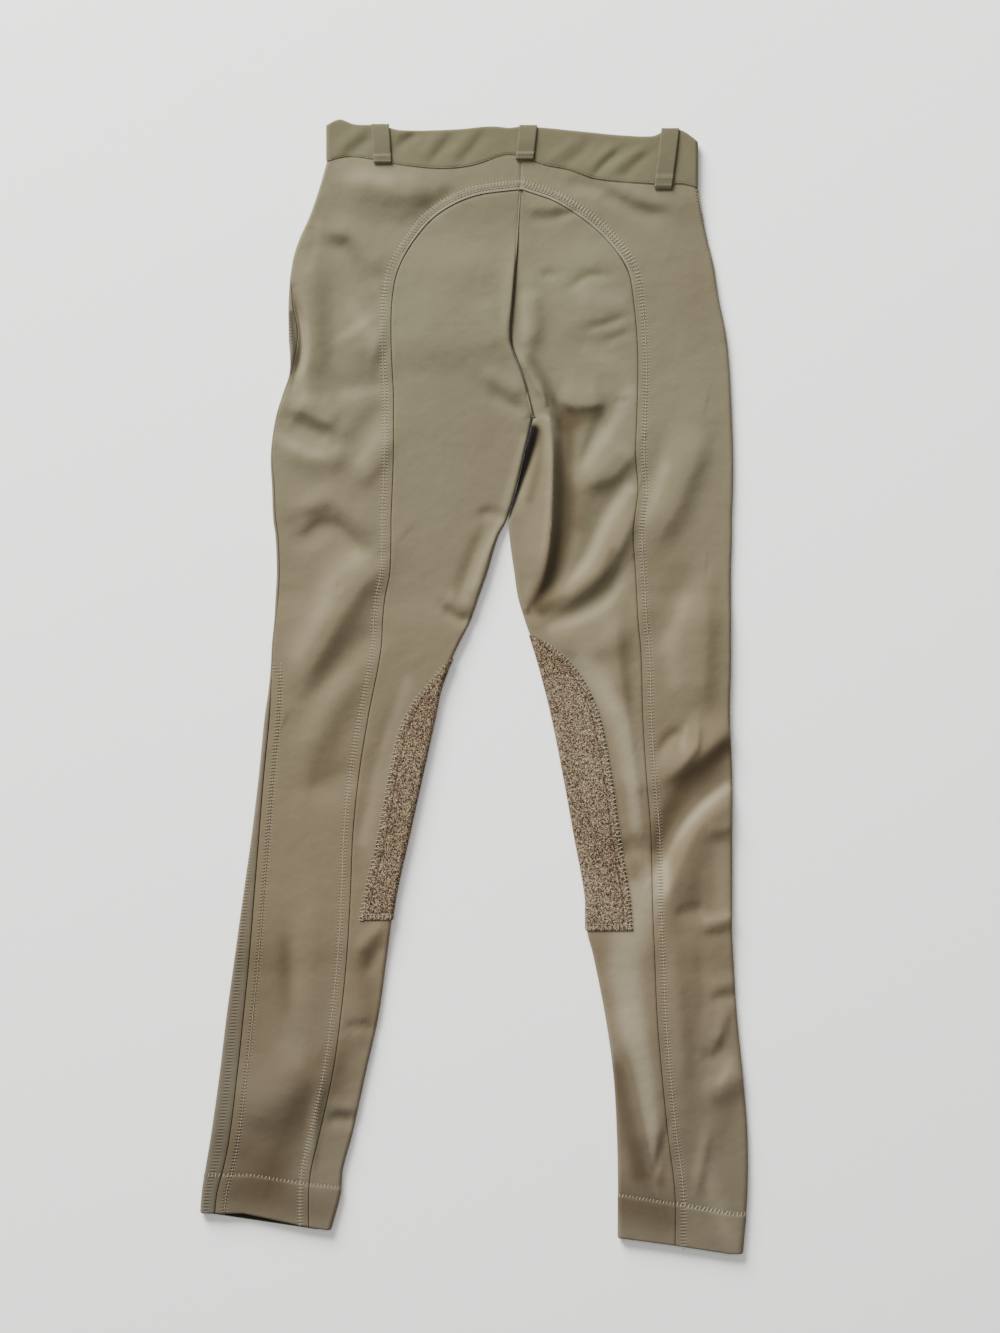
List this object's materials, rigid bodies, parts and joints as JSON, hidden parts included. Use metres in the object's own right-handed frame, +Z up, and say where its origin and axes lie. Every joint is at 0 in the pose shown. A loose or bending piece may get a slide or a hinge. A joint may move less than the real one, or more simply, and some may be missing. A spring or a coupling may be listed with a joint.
{
  "type": "riding breeches",
  "caption": "Riding breeches in stretch cloth, laid flat with the back up: arched seat seam, grip patches at the knees, belt loops and turned-up hems.",
  "frame": {"origin": "on the surface that the breeches lie on, under the middle of their outline", "axes": "+Y from the hems to the waistband, +Z up out of the back of the garment, +X to the viewer's right"},
  "size_m": [0.4594, 0.9495, 0.0115],
  "materials": {
    "stretch_cloth": "brushed stretch twill, dull khaki beige with a soft sheen",
    "knee_grip": "sueded grip cloth, mottled light and dark brown"
  },
  "bodies": {
    "root": {"side_panel_left": "stretch_cloth", "side_panel_right": "stretch_cloth", "seat_panel_left": "stretch_cloth", "seat_panel_right": "stretch_cloth", "front_panel_left": "stretch_cloth", "front_panel_right": "stretch_cloth", "waistband": "stretch_cloth", "hem_turnup_left": "stretch_cloth", "hem_turnup_right": "stretch_cloth", "belt_loop_left": "stretch_cloth", "belt_loop_centre": "stretch_cloth", "belt_loop_right": "stretch_cloth", "belt_loop_front_left": "stretch_cloth", "belt_loop_front_right": "stretch_cloth", "knee_patch_left": "knee_grip", "knee_patch_right": "knee_grip"}
  },
  "joints": []
}
